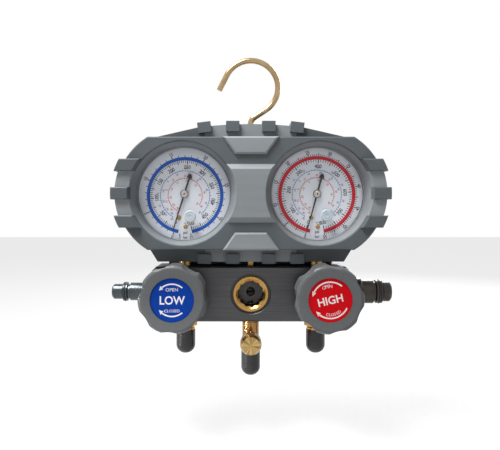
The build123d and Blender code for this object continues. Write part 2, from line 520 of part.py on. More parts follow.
def sight_gasket():
    return disc(RING_R - 0.4, 0, BAR_Z, GLASS_BACK + 1.0, GLASS_BACK) - disc(8.4, 0, BAR_Z, GLASS_BACK + 1.0, GLASS_BACK)


# ---- ports ------------------------------------------------------------------------------
def flare_end(tip, shoulder, root_r):
    """Corners of a flare thread below its shoulder, down to the 45 degree cone and its mouth."""
    return [(root_r, shoulder), (FLARE_R, shoulder), (FLARE_R, tip + 2.4), (3.4, tip), (PASSAGE_R, tip)]


def port_fitting(x):
    """Brass flare union under a gauge: pipe thread, hexagon, collar and flare thread."""
    corners = [(PASSAGE_R, BAR_FLOOR + 7.0), (PIPE_R - FIT, BAR_FLOOR + 7.0), (PIPE_R - FIT, BAR_FLOOR - 1.0),
               (5.0, BAR_FLOOR - 1.0), (5.0, BAR_FLOOR - 6.0), (6.4, BAR_FLOOR - 6.4), (6.4, CAP_TOP + 0.2)]
    union = turned(corners + flare_end(PORT_TIP, CAP_TOP + 0.2, 6.4)[1:], (x, 0, 0), "up")
    nut = Plane(origin=(x, 0, BAR_FLOOR - 5.0)) * hexagon(14)
    nut_body = extrude(nut, amount=4.9)
    return union + (nut_body - turned([(0, -200), (PASSAGE_R, -200), (PASSAGE_R, -150), (0, -150)], (x, 0, 0), "up"))


def port_cap(x, top):
    """Round-ended black cap pushed over a flare thread."""
    foot = top - CAP_LENGTH
    cap = turned([(0, foot), (CAP_R, foot), (CAP_R, top), (FLARE_R + FIT, top), (FLARE_R + FIT, foot + 5.7),
                  (3.4, foot + 3.3), (0, foot + 3.3)], (x, 0, 0), "up")
    return fillet(cap.edges().filter_by(GeomType.CIRCLE).sort_by(Axis.Z)[0], CAP_DOME)


def centre_tee():
    """Brass tee: port down, service branch to the front, with a ring where it meets the bar."""
    tip = PORT_TIP - TEE_DROP
    shoulder = CAP_TOP - TEE_DROP + 0.2
    corners = [(PASSAGE_R, BAR_FLOOR + 7.0), (PIPE_R - FIT, BAR_FLOOR + 7.0), (PIPE_R - FIT, BAR_FLOOR - 0.05),
               (5.5, BAR_FLOOR - 0.05), (5.5, BAR_FLOOR - 2.2), (TEE_R, BAR_FLOOR - 2.4), (TEE_R, shoulder)]
    body = turned(corners + flare_end(tip, shoulder, TEE_R)[1:], (0, 0, 0), "up")
    branch = [(0, 0), (5.6, 0), (5.6, 12.5), (FLARE_R, 12.5), (FLARE_R, 20.0), (3.4, 22.2), (0, 22.2)]
    body += turned(branch, (0, 0, BRANCH_Z), "front")
    body -= turned([(0, tip), (PASSAGE_R, tip), (PASSAGE_R, BAR_FLOOR + 7.0), (0, BAR_FLOOR + 7.0)], (0, 0, 0), "up")
    return body - turned([(0, 0), (1.2, 0), (1.2, 9), (2.6, 9), (2.6, 23), (0, 23)], (0, 0, BRANCH_Z), "front")


def service_cap():
    """Knurled brass cap on the service branch, with a turned face and a rounded edge."""
    corners = [(FLARE_R + FIT, 13.0), (6.4, 13.0), (7.15, 13.8), (7.15, 22.6), (5.9, 25.6), (0, 26.0), (0, 23.4),
               (FLARE_R + FIT, 23.4)]
    return turned(corners, (0, 0, BRANCH_Z), "front")


def valve_core():
    """Schrader core: a barrel pressed in the branch, with its pin."""
    corners = [(0, 10.0), (2.55, 10.0), (2.55, 18.0), (0.6, 18.0), (0.6, 20.5), (0, 20.5)]
    return turned(corners, (0, 0, BRANCH_Z), "front")


# ---- hose parking posts -----------------------------------------------------------------
POSTS = {
    "low": {"collar_r": 8.0, "collar_end": 76.0, "body_r": 6.3, "body_end": 85.9, "neck_r": 5.15,
            "ring_r": 6.65, "ring_start": 87.0, "ring_end": 91.2, "nose_r": 5.3, "nose_end": 98.4},
    "high": {"collar_r": 9.8, "collar_end": 79.0, "body_r": 8.45, "body_end": 87.4, "neck_r": 7.0,
             "ring_r": 8.3, "ring_start": 88.3, "ring_end": 94.0, "nose_r": 7.1, "nose_end": 99.8},
}


def post_groove(post):
    """First and last station of the groove in a post's ring, and its floor radius."""
    middle = (post["ring_start"] + post["ring_end"]) / 2
    return middle - 0.8, middle + 0.8, post["ring_r"] - 1.3


def parking_post(name):
    """Turned post shaped like a car's service port, screwed into the end of the bar."""
    post = POSTS[name]
    root = BAR_LENGTH / 2
    groove_from, groove_to, floor_r = post_groove(post)
    corners = [(0, root - 7), (PIPE_R - FIT, root - 7), (PIPE_R - FIT, root + 0.05),
               (post["collar_r"], root + 0.05), (post["collar_r"], post["collar_end"] - 1.3),
               (post["body_r"] + 0.2, post["collar_end"]), (post["body_r"], post["collar_end"]),
               (post["body_r"], post["body_end"] - 0.5), (post["neck_r"], post["body_end"]),
               (post["neck_r"], post["ring_start"]), (post["ring_r"], post["ring_start"] + 0.6),
               (post["ring_r"], groove_from), (floor_r, groove_from), (floor_r, groove_to),
               (post["ring_r"], groove_to), (post["ring_r"], post["ring_end"] - 0.9),
               (post["nose_r"], post["ring_end"]), (post["nose_r"], post["nose_end"] - 1.3),
               (post["nose_r"] - 1.3, post["nose_end"]), (0, post["nose_end"])]
    return turned(corners, (0, 0, BAR_Z), "right" if SIDES[name] > 0 else "left")


def post_rings():
    """Rubber ring in each post's groove."""
    rings = []
    for name, sign in SIDES.items():
        post = POSTS[name]
        groove_from, groove_to, floor_r = post_groove(post)
        proud = post["ring_r"] + 0.25
        corners = [(floor_r + 0.05, groove_from + 0.1), (proud - 0.5, groove_from + 0.1), (proud, groove_from + 0.5),
                   (proud, groove_to - 0.5), (proud - 0.5, groove_to - 0.1), (floor_r + 0.05, groove_to - 0.1)]
        rings.append(turned(corners, (0, 0, BAR_Z), "right" if sign > 0 else "left"))
    return rings


# ---- hook -------------------------------------------------------------------------------
def hook():
    """Bent steel wire: open hook over the origin, leaning leg, and a shank down to the bar."""
    centre = (0.2, WIRE_R - BEND_R)
    mouth, leg = math.radians(MOUTH), math.radians(LEG)
    mouth_point = (centre[0] + BEND_R * math.cos(mouth), centre[1] + BEND_R * math.sin(mouth))
    leg_point = (centre[0] + BEND_R * math.cos(leg), centre[1] + BEND_R * math.sin(leg))
    tip = (mouth_point[0] - TIP_RUN * math.sin(mouth), mouth_point[1] + TIP_RUN * math.cos(mouth))
    run = leg_point[0] / -math.sin(leg)
    foot = (0, leg_point[1] - run * math.cos(leg))
    bend = CenterArc(centre, BEND_R, MOUTH, LEG - MOUTH)
    lower = FilletPolyline(leg_point, foot, (0, SHANK_FOOT), radius=6.0)
    path = Plane.XZ * (Wire([Line(tip, mouth_point), bend]) + lower)
    start = Plane(origin=(tip[0], 0, tip[1]), z_dir=(math.sin(mouth), 0, -math.cos(mouth)))
    return sweep(start * Circle(WIRE_R), path=path)


def hook_nut():
    """Small brass nut that keeps the shank in the bar."""
    nut = extrude(Plane(origin=(0, 0, BAR_TOP + 0.05)) * hexagon(6.0), amount=2.4)
    return nut - turned([(0, -150), (WIRE_R + FIT, -150), (WIRE_R + FIT, -140), (0, -140)], (0, 0, 0), "up")


# ---- one STEP for each node -------------------------------------------------------------
def all_nodes():
    nodes = {
        "manifold_bar": manifold_bar(), "boot_shell": boot_shell(), "boot_overmould": boot_overmould(),
        "rear_cover": rear_cover(), "cover_screws": cover_screws(), "dial_screws": dial_screws(),
        "stem_rings": stem_rings(), "sight_ring": sight_ring(), "sight_glass": sight_glass(),
        "sight_gasket": sight_gasket(), "centre_tee": centre_tee(), "centre_cap": port_cap(0, CAP_TOP - TEE_DROP),
        "service_cap": service_cap(), "valve_core": valve_core(), "post_rings": post_rings(),
        "hook": hook(), "hook_nut": hook_nut(),
    }
    for name, sign in SIDES.items():
        gauge_x, valve_x = sign * GAUGE_X, sign * VALVE_X
        side = {
            "gauge_case": gauge_case(gauge_x), "gauge_socket": gauge_socket(gauge_x),
            "bourdon_tube": bourdon_tube(gauge_x), "movement_frame": movement_frame(gauge_x),
            "pinion": pinion(gauge_x), "sector_gear": sector_gear(gauge_x), "link": link(gauge_x),
            "dial": dial(gauge_x), "needle": needle(gauge_x, name), "lens": lens(gauge_x, name),
            "lens_plug": lens_plug(gauge_x, name), "knob": knob(valve_x, name), "knob_label": knob_label(valve_x),
            "knob_screw": knob_screw(valve_x), "valve_stem": valve_stem(valve_x), "valve_seat": valve_seat(valve_x),
            "bonnet": bonnet(valve_x), "port_fitting": port_fitting(gauge_x), "port_cap": port_cap(gauge_x, CAP_TOP),
            "parking_post": parking_post(name),
        }
        nodes.update({f"{name}_{piece}": solid for piece, solid in side.items()})
    return nodes


os.makedirs("parts", exist_ok=True)
for node, shape in all_nodes().items():
    solids = shape if isinstance(shape, list) else [shape]
    export_step(Compound(children=[s for piece in solids for s in piece.solids()]), f"parts/{node}.step")
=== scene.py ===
import bpy
import math
from mathutils import Matrix, Vector


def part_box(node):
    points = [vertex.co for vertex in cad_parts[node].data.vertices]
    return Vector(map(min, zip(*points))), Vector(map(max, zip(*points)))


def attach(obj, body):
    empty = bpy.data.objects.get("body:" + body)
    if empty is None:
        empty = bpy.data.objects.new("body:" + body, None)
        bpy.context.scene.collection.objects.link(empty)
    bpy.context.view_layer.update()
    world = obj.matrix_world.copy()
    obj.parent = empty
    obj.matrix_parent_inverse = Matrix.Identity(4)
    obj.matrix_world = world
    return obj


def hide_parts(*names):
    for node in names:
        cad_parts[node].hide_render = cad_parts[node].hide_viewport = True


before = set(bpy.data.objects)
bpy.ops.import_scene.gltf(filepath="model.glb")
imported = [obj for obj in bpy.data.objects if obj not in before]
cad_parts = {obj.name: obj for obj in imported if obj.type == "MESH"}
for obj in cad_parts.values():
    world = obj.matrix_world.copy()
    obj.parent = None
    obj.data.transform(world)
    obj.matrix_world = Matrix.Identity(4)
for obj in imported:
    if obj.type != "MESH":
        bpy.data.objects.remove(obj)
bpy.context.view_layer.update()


# ---- Stage ------------------------------------------------------------------------------
# The gauge set hangs in a pale studio, above a floor that the eye, mirrors and glass see brighter
# than diffuse light does. One big soft lamp stands high on the left, a second behind on the right,
# and a faint narrow one low on the left.
FLOOR_Z, FLOOR_SHARE, FLOOR_GLOW = -0.262, 0.60, 1.24
floor_mesh = bpy.data.meshes.new("studio_floor")
floor_mesh.from_pydata([(x, y, FLOOR_Z) for x, y in ((-3, -2), (3, -2), (3, 3), (-3, 3))], [], [(0, 1, 2, 3)])
floor = bpy.data.objects.new("studio_floor", floor_mesh)
bpy.context.scene.collection.objects.link(floor)
pale = bpy.data.materials.new("studio_floor")
pale.use_nodes = True
matt = pale.node_tree.nodes["Principled BSDF"]
matt.inputs["Base Color"].default_value = (0.62, 0.62, 0.62, 1)
matt.inputs["Roughness"].default_value = 0.8


def sharp_rays(tree, share):
    """Share of white that the eye, mirrors and glass see, which diffuse light doesn't."""
    rays = tree.nodes.new("ShaderNodeLightPath")
    summed = rays.outputs["Is Camera Ray"]
    for other in ("Is Glossy Ray", "Is Transmission Ray"):
        either = tree.nodes.new("ShaderNodeMath")
        either.operation = "MAXIMUM"
        tree.links.new(summed, either.inputs[0])
        tree.links.new(rays.outputs[other], either.inputs[1])
        summed = either.outputs[0]
    portion = tree.nodes.new("ShaderNodeMath")
    portion.operation, portion.inputs[1].default_value = "MULTIPLY", share
    tree.links.new(summed, portion.inputs[0])
    mixed = tree.nodes.new("ShaderNodeMixShader")
    tree.links.new(portion.outputs[0], mixed.inputs["Fac"])
    return mixed


glow = pale.node_tree.nodes.new("ShaderNodeEmission")
laid = sharp_rays(pale.node_tree, FLOOR_SHARE)
glow.inputs["Strength"].default_value = FLOOR_GLOW
pale.node_tree.links.new(matt.outputs[0], laid.inputs[1])
pale.node_tree.links.new(glow.outputs[0], laid.inputs[2])
pale.node_tree.links.new(laid.outputs[0], pale.node_tree.nodes["Material Output"].inputs["Surface"])
floor_mesh.materials.append(pale)

room = bpy.data.worlds.new("studio_room")
bpy.context.scene.world = room
room.use_nodes = True
air = room.node_tree
dim, white, lit = air.nodes["Background"], air.nodes.new("ShaderNodeBackground"), sharp_rays(air, 1.0)
dim.inputs["Color"].default_value = (0.93, 0.96, 1.0, 1)
dim.inputs["Strength"].default_value = 0.17
white.inputs["Color"].default_value = (1, 1, 1, 1)
white.inputs["Strength"].default_value = 1.0
air.links.new(dim.outputs[0], lit.inputs[1])
air.links.new(white.outputs[0], lit.inputs[2])
air.links.new(lit.outputs[0], air.nodes["World Output"].inputs["Surface"])


def soft_lamp(name, place, aim, width, height, watts, spread=180):
    """Rectangular soft box that faces a point on the set; a grid narrows its spread."""
    light = bpy.data.lights.new(name, "AREA")
    light.spread = math.radians(spread)
    light.shape, light.size, light.size_y, light.energy = "RECTANGLE", width, height, watts
    lamp = bpy.data.objects.new(name, light)
    lamp.location = place
    lamp.rotation_euler = (Vector(aim) - Vector(place)).to_track_quat("-Z", "Y").to_euler()
    bpy.context.scene.collection.objects.link(lamp)


soft_lamp("top_lamp", (-0.24, -0.20, 0.46), (0, 0, -0.10), 0.36, 0.22, 7.5)
soft_lamp("side_lamp", (-0.46, -0.20, -0.215), (-0.02, 0, -0.235), 0.09, 0.06, 0.09, 20)
soft_lamp("back_lamp", (0.35, 0.75, 0.30), (0, 0, -0.12), 0.40, 0.40, 5.0)

view = bpy.data.cameras.new("camera")
view.lens, view.sensor_width = 40.25, 36.0
view.shift_x, view.shift_y = 0.0083, -0.0272
camera = bpy.data.objects.new("camera", view)
camera.location = (-0.0034, -0.400, -0.1058)
camera.rotation_euler = (math.radians(90), 0, 0)
bpy.context.scene.collection.objects.link(camera)
bpy.context.scene.camera = camera
bpy.context.scene.view_settings.view_transform = "Standard"


# ---- Manifold bar -----------------------------------------------------------------------
# Square aluminium bar, bevelled, brushed along its length and anodised a dark gunmetal. The
# galleries inside join the valves, the sight glass and the three ports.
class Flow:
    """A value that runs through a finish's nodes, so that a finish reads as a sum."""

    def __init__(self, finish, socket):
        self.finish, self.socket = finish, socket

    def sum_of(self, operation, first, second):
        return self.finish.node("ShaderNodeMath", {"operation": operation}, {0: first, 1: second})

    def __add__(self, other):
        return self.sum_of("ADD", self, other)

    def __mul__(self, other):
        return self.sum_of("MULTIPLY", self, other)


class Finish:
    """A surface finish: one shader, its constants, and the nodes that vary it over a piece."""

    def __init__(self, name, **constants):
        self.material = bpy.data.materials.new(name)
        self.material.use_nodes = True
        self.tree = self.material.node_tree
        self.shader = self.tree.nodes["Principled BSDF"]
        for socket, value in constants.items():
            self.shader.inputs[socket.replace("_", " ").title().replace("Ior", "IOR")].default_value = value

    def node(self, kind, settings=None, values=None, out=0):
        made = self.tree.nodes.new(kind)
        for setting, value in (settings or {}).items():
            if setting == "stops":
                ramp = made.color_ramp
                while len(ramp.elements) < len(value):
                    ramp.elements.new(1.0)
                for element, (place, colour) in zip(ramp.elements, value):
                    element.position, element.color = place, (*colour, 1)
            else:
                setattr(made, setting, value)
        for key, value in (values or {}).items():
            socket = made.inputs[key] if isinstance(key, int) else next(
                s for s in made.inputs if key in (s.identifier, s.name))
            if isinstance(value, Flow):
                self.tree.links.new(value.socket, socket)
            else:
                socket.default_value = value
        end = made.outputs[out] if isinstance(out, int) else next(
            s for s in made.outputs if out in (s.identifier, s.name))
        return Flow(self, end)

    def place(self, stretch=(1, 1, 1)):
        """Position on the piece in metres, stretched for grain that runs one way."""
        spot = self.node("ShaderNodeTexCoord", out="Object")
        return self.node("ShaderNodeMapping", {}, {"Vector": spot, "Scale": stretch})

    def noise(self, scale, detail=3.0, stretch=(1, 1, 1)):
        return self.node("ShaderNodeTexNoise", {}, {"Vector": self.place(stretch), "Scale": scale,
                                                    "Detail": detail}, "Fac")

    def blend(self, factor, first, second):
        first, second = [(*c, 1) if isinstance(c, tuple) and len(c) == 3 else c for c in (first, second)]
        return self.node("ShaderNodeMix", {"data_type": "RGBA"},
                         {"Factor_Float": factor, "A_Color": first, "B_Color": second}, "Result_Color")

    def ramp(self, factor, *stops):
        return self.node("ShaderNodeValToRGB", {"stops": stops}, {"Fac": factor}, "Color")

    def feed(self, socket, value):
        self.tree.links.new(value.socket, self.shader.inputs[socket])

    def bump(self, height, depth, strength=1.0):
        """Relief of the surface, its full depth in metres."""
        self.feed("Normal", self.node("ShaderNodeBump", {}, {"Height": height, "Distance": depth,
                                                             "Strength": strength}, "Normal"))

    def edges(self):
        """Pointiness of the piece: above 0.5 on its convex corners, where a painted highlight goes, and 0.5 on its
        flats.
        """
        return self.node("ShaderNodeNewGeometry", out="Pointiness")

    def coat(self, *nodes):
        """Gives this finish to CAD nodes."""
        for name in nodes:
            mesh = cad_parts[name].data
            mesh.materials.clear()
            mesh.materials.append(self.material)


anodised = Finish("bar_anodised", metallic=0.85, roughness=0.42)
strokes = anodised.noise(1700.0, 4.0, (0.02, 1.0, 1.0))
patches = anodised.noise(25.0, 2.0)
anodised.feed("Base Color", anodised.blend(strokes * 0.8 + patches * 0.2,
                                           (0.036, 0.036, 0.038), (0.115, 0.115, 0.12)))
anodised.feed("Roughness", strokes * 0.25 + 0.30)
anodised.bump(strokes, 0.00002)
anodised.coat("manifold_bar")


# ---- Housing ----------------------------------------------------------------------------
# A light grey moulded tray holds both gauges. A dark soft skin is moulded over its front and
# wraps round as lugs. A flat rear cover closes it with six screws.
def moulded(name, low, high, grain, roughness, highlight_share=0.5):
    """Moulded plastic: spark-eroded grain, faint flow clouds, and convex edges made a little paler as a painted
    highlight.
    """
    finish = Finish(name, roughness=roughness, specular_ior_level=0.3)
    clouds, spark = finish.noise(30.0, 2.0), finish.noise(grain, 2.0)
    colour = finish.blend(clouds, low, high)
    # painted highlight: convex edges turn paler, standing in for light caught along them
    edge_highlight = finish.ramp(finish.edges(), (0.5, (0, 0, 0)), (0.62, (1, 1, 1)))
    highlight_colour = tuple(min(1.0, c * 1.7 + 0.02) for c in high)
    finish.feed("Base Color", finish.blend(edge_highlight * highlight_share, colour, highlight_colour) if highlight_share else colour)
    finish.feed("Roughness", spark * 0.12 + (roughness - 0.06))
    finish.bump(spark, 0.00003)
    return finish


skin = moulded("skin_dark_grey", (0.066, 0.078, 0.084), (0.080, 0.092, 0.099), 4200.0, 0.40)
shell = moulded("shell_light_grey", (0.185, 0.203, 0.212), (0.208, 0.226, 0.236), 4200.0, 0.42)
cover = moulded("cover_grey", (0.070, 0.082, 0.089), (0.086, 0.098, 0.105), 3000.0, 0.5, 0)
skin.coat("boot_overmould")
shell.coat("boot_shell")
cover.coat("rear_cover")

zinc = Finish("screw_steel", metallic=1.0)
haze = zinc.noise(1500.0, 3.0)
zinc.feed("Base Color", zinc.blend(haze, (0.42, 0.42, 0.44), (0.62, 0.62, 0.63)))
zinc.feed("Roughness", haze * 0.2 + 0.25)
zinc.coat("cover_screws", "low_knob_screw", "high_knob_screw")


# ---- Gauge works ------------------------------------------------------------------------
# Black painted cases. Brass sockets, movement plates and sectors, bronze Bourdon tubes and
# bright steel pinions and links, all turned or pressed.
def turned_metal(name, dark, light, roughness, grain=1200.0, relief=0.00001):
    """Machined metal with fine tool marks and a little tarnish that varies at random."""
    finish = Finish(name, metallic=1.0)
    marks, tarnish = finish.noise(grain, 4.0), finish.noise(160.0, 3.0)
    finish.feed("Base Color", finish.blend(tarnish, dark, light))
    finish.feed("Roughness", marks * 0.18 + (roughness - 0.09))
    finish.bump(marks, relief)
    return finish


brass = turned_metal("brass", (0.32, 0.17, 0.045), (0.58, 0.36, 0.12), 0.26)
bronze = turned_metal("bronze_tube", (0.42, 0.24, 0.10), (0.60, 0.38, 0.18), 0.33)
bright = turned_metal("bright_steel", (0.30, 0.29, 0.27), (0.52, 0.50, 0.47), 0.24)
paint = Finish("case_black", metallic=0.0)
orange_peel = paint.noise(700.0, 2.0)
paint.feed("Base Color", paint.blend(orange_peel, (0.012, 0.012, 0.013), (0.022, 0.022, 0.024)))
paint.feed("Roughness", orange_peel * 0.15 + 0.25)
paint.bump(orange_peel, 0.00003)
for side in ("low", "high"):
    paint.coat(f"{side}_gauge_case")
    brass.coat(f"{side}_gauge_socket", f"{side}_movement_frame", f"{side}_sector_gear")
    bronze.coat(f"{side}_bourdon_tube")
    bright.coat(f"{side}_pinion", f"{side}_link")
brass.coat("dial_screws")


# ---- Dials ------------------------------------------------------------------------------
# Aluminium plates enamelled white and screen printed: pressure outside in bar, inside in psi,
# and two temperature scales. The low side has a blue band, the high side a red one.
def new_piece(name, corners, faces, finish, body="root"):
    """Mesh piece of one finish, carried by a body."""
    mesh = bpy.data.meshes.new(name)
    mesh.from_pydata(corners, [], faces)
    mesh.materials.append(finish.material)
    made = bpy.data.objects.new(name, mesh)
    bpy.context.scene.collection.objects.link(made)
    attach(made, body)
    return made


class Printing:
    """Flat marks of one ink on a plate that faces the user; angles run clockwise from below."""

    def __init__(self, name, x, z, depth):
        self.name, self.x, self.z, self.depth = name, x, z, depth
        self.corners, self.faces = [], []

    def patch(self, outline):
        start = len(self.corners)
        self.corners += [(self.x + u, self.depth, self.z + v) for u, v in outline]
        self.faces.append(tuple(range(start, start + len(outline))))

    def spot(self, radius, angle):
        turn = math.radians(angle)
        return -radius * math.sin(turn), -radius * math.cos(turn)

    def tick(self, inner, outer, angle, width):
        (a, b), (c, d) = self.spot(inner, angle), self.spot(outer, angle)
        across = (-(d - b) / (outer - inner) * width / 2, (c - a) / (outer - inner) * width / 2)
        self.patch([(a - across[0], b - across[1]), (c - across[0], d - across[1]),
                    (c + across[0], d + across[1]), (a + across[0], b + across[1])])

    def band(self, inner, outer, first, last):
        steps = max(4, round(abs(last - first) / 2.5))
        for k in range(steps):
            a, b = (first + (last - first) * (k + e) / steps for e in (0, 1))
            self.patch([self.spot(inner, a), self.spot(inner, b), self.spot(outer, b), self.spot(outer, a)])

    def words(self, text, height, u, v, turn=0.0, wide=1.0, weight=0.03):
        """Letters of a cap height, centred on a spot and turned counter-clockwise."""
        type_setting = bpy.data.curves.new(self.name, "FONT")
        type_setting.body, type_setting.align_x, type_setting.size = text, "CENTER", height / 0.69
        type_setting.resolution_u = 3
        type_setting.offset = height * weight
        block = bpy.data.objects.new(self.name, type_setting)
        letters = bpy.data.meshes.new_from_object(block)
        turned = Matrix.Rotation(math.radians(turn), 4, "Z")
        place = Matrix.Translation((u, v, 0)) @ turned @ Matrix.Translation((0, -height / 2, 0))
        start = len(self.corners)
        for vertex in letters.vertices:
            spot = place @ Vector((vertex.co.x * wide, vertex.co.y, 0))
            self.corners.append((self.x + spot.x, self.depth, self.z + spot.y))
        self.faces += [tuple(start + k for k in face.vertices) for face in letters.polygons]
        bpy.data.objects.remove(block)
        bpy.data.meshes.remove(letters)

    def number(self, text, height, radius, angle):
        """A number on a circle, its top outwards above the middle and inwards below it."""
        u, v = self.spot(radius, angle)
        upper = 80 < angle < 275
        self.words(str(text), height, u, v, (180 - angle) if upper else -angle, 0.86)

    def piece(self, finish, body="root"):
        return new_piece(self.name, self.corners, self.faces, finish, body)


def ink(name, pale, deep):
    """Screen ink, a little thinner here and there."""
    finish = Finish(name, roughness=0.4)
    finish.feed("Base Color", finish.blend(finish.noise(900.0, 2.0), deep, pale))
    return finish


enamel = Finish("dial_white", roughness=0.35, specular_ior_level=0.3)
mist = enamel.noise(60.0, 2.0)
enamel.feed("Base Color", enamel.blend(mist, (0.74, 0.76, 0.81), (0.79, 0.81, 0.87)))
enamel.feed("Roughness", enamel.noise(1500.0) * 0.1 + 0.3)
enamel.coat("low_dial", "high_dial")
black_ink_and_slot_shade = ink("black_ink_and_slot_shade", (0.035, 0.030, 0.040), (0.015, 0.012, 0.018))
blue_ink = ink("blue_ink", (0.0, 0.10, 0.52), (0.0, 0.075, 0.43))
red_ink = ink("red_ink", (0.60, 0.006, 0.018), (0.50, 0.003, 0.012))
fine_blue = ink("fine_blue_ink", (0.10, 0.17, 0.40), (0.06, 0.12, 0.32))
fine_red = ink("fine_red_ink", (0.55, 0.12, 0.13), (0.46, 0.07, 0.08))

DIAL_SCREWS, SCREW_FACE = ((-0.0040, -0.0165), (0.0007, -0.0230)), -0.00932
scales = {
    "low": {"shift": (0.0004, -0.0010), "band": (24.5, 26.9, 10.5, 349.5), "bar0": 17.4, "bar": 9.55,
            "bar_top": 35, "psi0": 19.0, "psi": 0.66, "psi_top": 500, "psi_number": 50,
            "psi_tick": 5, "psi_long": 25, "bar_tick": 1.0, "bar_long": 5.0},
    "high": {"shift": (0.0, -0.0005), "band": (24.6, 27.1, 10.5, 349.5), "bar0": 16.0, "bar": 6.06,
             "bar_top": 55, "psi0": 17.0, "psi": 0.414, "psi_top": 800, "psi_number": 100,
             "psi_tick": 10, "psi_long": 50, "bar_tick": 0.5, "bar_long": 2.5},
}
for side, scale in scales.items():
    low_corner, high_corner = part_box(f"{side}_dial")
    gauge_x, gauge_z = (low_corner[0] + high_corner[0]) / 2, (low_corner[2] + high_corner[2]) / 2
    dial_x, dial_z = gauge_x + scale["shift"][0], gauge_z + scale["shift"][1]
    face = low_corner[1] - 0.00002
    inner, outer, first, last = scale["band"]
    stripe = Printing(f"{side}_dial_band", dial_x, dial_z, face)
    stripe.band(inner / 1000, outer / 1000, first, last)
    stripe.piece(blue_ink if side == "low" else red_ink)

    marks = Printing(f"{side}_dial_marks", dial_x, dial_z, face - 0.00001)
    for k in range(round(scale["bar_top"] / scale["bar_tick"]) + 1):
        reading = k * scale["bar_tick"]
        long = abs(reading / scale["bar_long"] - round(reading / scale["bar_long"])) < 0.01
        marks.tick(outer / 1000 + 0.0001, outer / 1000 + (0.0018 if long else 0.0012),
                   scale["bar0"] + scale["bar"] * reading, 0.00068 if long else 0.00050)
    for reading in range(0, scale["bar_top"] + 1, 5):
        marks.number(reading, 0.0023, 0.0301, scale["bar0"] + scale["bar"] * reading)
    if side == "low":
        marks.tick(outer / 1000 + 0.0001, outer / 1000 + 0.0023, scale["bar0"] - scale["bar"], 0.0006)
        marks.number("-1", 0.0023, 0.0301, scale["bar0"] - scale["bar"])
    for k in range(scale["psi_top"] // scale["psi_tick"] + 1):
        reading = k * scale["psi_tick"]
        long = reading % scale["psi_long"] == 0
        marks.tick(inner / 1000 - (0.0026 if long else 0.0017), inner / 1000 - 0.0001,
                   scale["psi0"] + scale["psi"] * reading, 0.00066 if long else 0.00044)
    for reading in range(0, scale["psi_top"] + 1, scale["psi_number"]):
        marks.number(reading, 0.0026, 0.0199, scale["psi0"] + scale["psi"] * reading)
    for du, dv in DIAL_SCREWS:
        x, z = gauge_x + du, gauge_z + dv
        # painted shade: each dial screw gets a flat black patch standing in for the shadow in its slot
        slot = Printing(f"{side}_dial_screw_slot_shade", x, z, SCREW_FACE)
        slot.patch([(-0.0010, -0.00052), (-0.00078, -0.00074), (0.0010, 0.00052), (0.00078, 0.00074)])
        slot.piece(black_ink_and_slot_shade)
    marks.words("psi", 0.0020, 0.0002, -0.0259, 0, 0.95)
    marks.words("bar", 0.0017, 0.0002, -0.0293, 0, 0.95)
    marks.words("°C", 0.0018, 0.0002, -0.0200, 0, 0.95)
    marks.piece(black_ink_and_slot_shade)

    for name, finish, radius, start, end, step, count in (("blue_scale", fine_blue, 0.0172, 30, 319, 6.0, 11),
                                                          ("red_scale", fine_red, 0.0119, 24, 304, 7.0, 9)):
        fine = Printing(f"{side}_{name}", dial_x, dial_z, face)
        fine.band(radius - 0.00016, radius + 0.00016, start, end)
        for k in range(int((end - start) / step) + 1):
            long = k % 4 == 0
            fine.tick(radius - 0.0004, radius + (0.0011 if long else 0.0007), start + step * k, 0.0003)
        for k in range(count):
            angle = start + (end - start) * (k / (count - 1)) ** 1.25
            fine.number(-30 + 10 * k, 0.0014, radius + 0.0018, angle)
            fine.number(-40 + 10 * k, 0.0014, radius - 0.0016, min(end, angle + 7))
        fine.piece(finish)


# ---- Lenses and pointers ----------------------------------------------------------------
# Domed clear polycarbonate with a stepped rim, and a milky ringed plug pressed into a small hole
# over each dial. Under it a slim black pointer turns on its pinion.
GAUGE_X, GAUGE_Z = 0.0463, -0.0936
SMOOTH_FROM = 24
clear = Finish("clear_lens", roughness=0.03, transmission_weight=1.0, ior=1.10, alpha=0.25)
clear.feed("Base Color", clear.blend(clear.noise(40.0), (0.96, 0.98, 1.0), (1.0, 1.0, 1.0)))
clear.coat("low_lens", "high_lens")
milky = Finish("milky_plug", roughness=0.3, subsurface_weight=0.3, subsurface_scale=0.002)
milky.feed("Base Color", milky.blend(milky.noise(300.0), (0.62, 0.70, 0.74), (0.72, 0.79, 0.83)))
milky.coat("low_lens_plug", "high_lens_plug")


def lathed(name, middle, outline, finish, body="root", steps=96):
    """Ring turned about an axis that points at the user; outline holds (radius, depth) pairs."""
    corners, faces = [], []
    for k in range(steps):
        turn = 2 * math.pi * k / steps
        corners += [(middle[0] + r * math.cos(turn), middle[1] - out, middle[2] + r * math.sin(turn))
                    for r, out in outline]
    count = len(outline)
    for k in range(steps):
        here, there = k * count, (k + 1) % steps * count
        faces += [(here + j, here + (j + 1) % count, there + (j + 1) % count, there + j)
                  for j in range(count)]
    made = new_piece(name, corners, faces, finish, body)
    for face in made.data.polygons:
        face.use_smooth = steps > SMOOTH_FROM
    return made


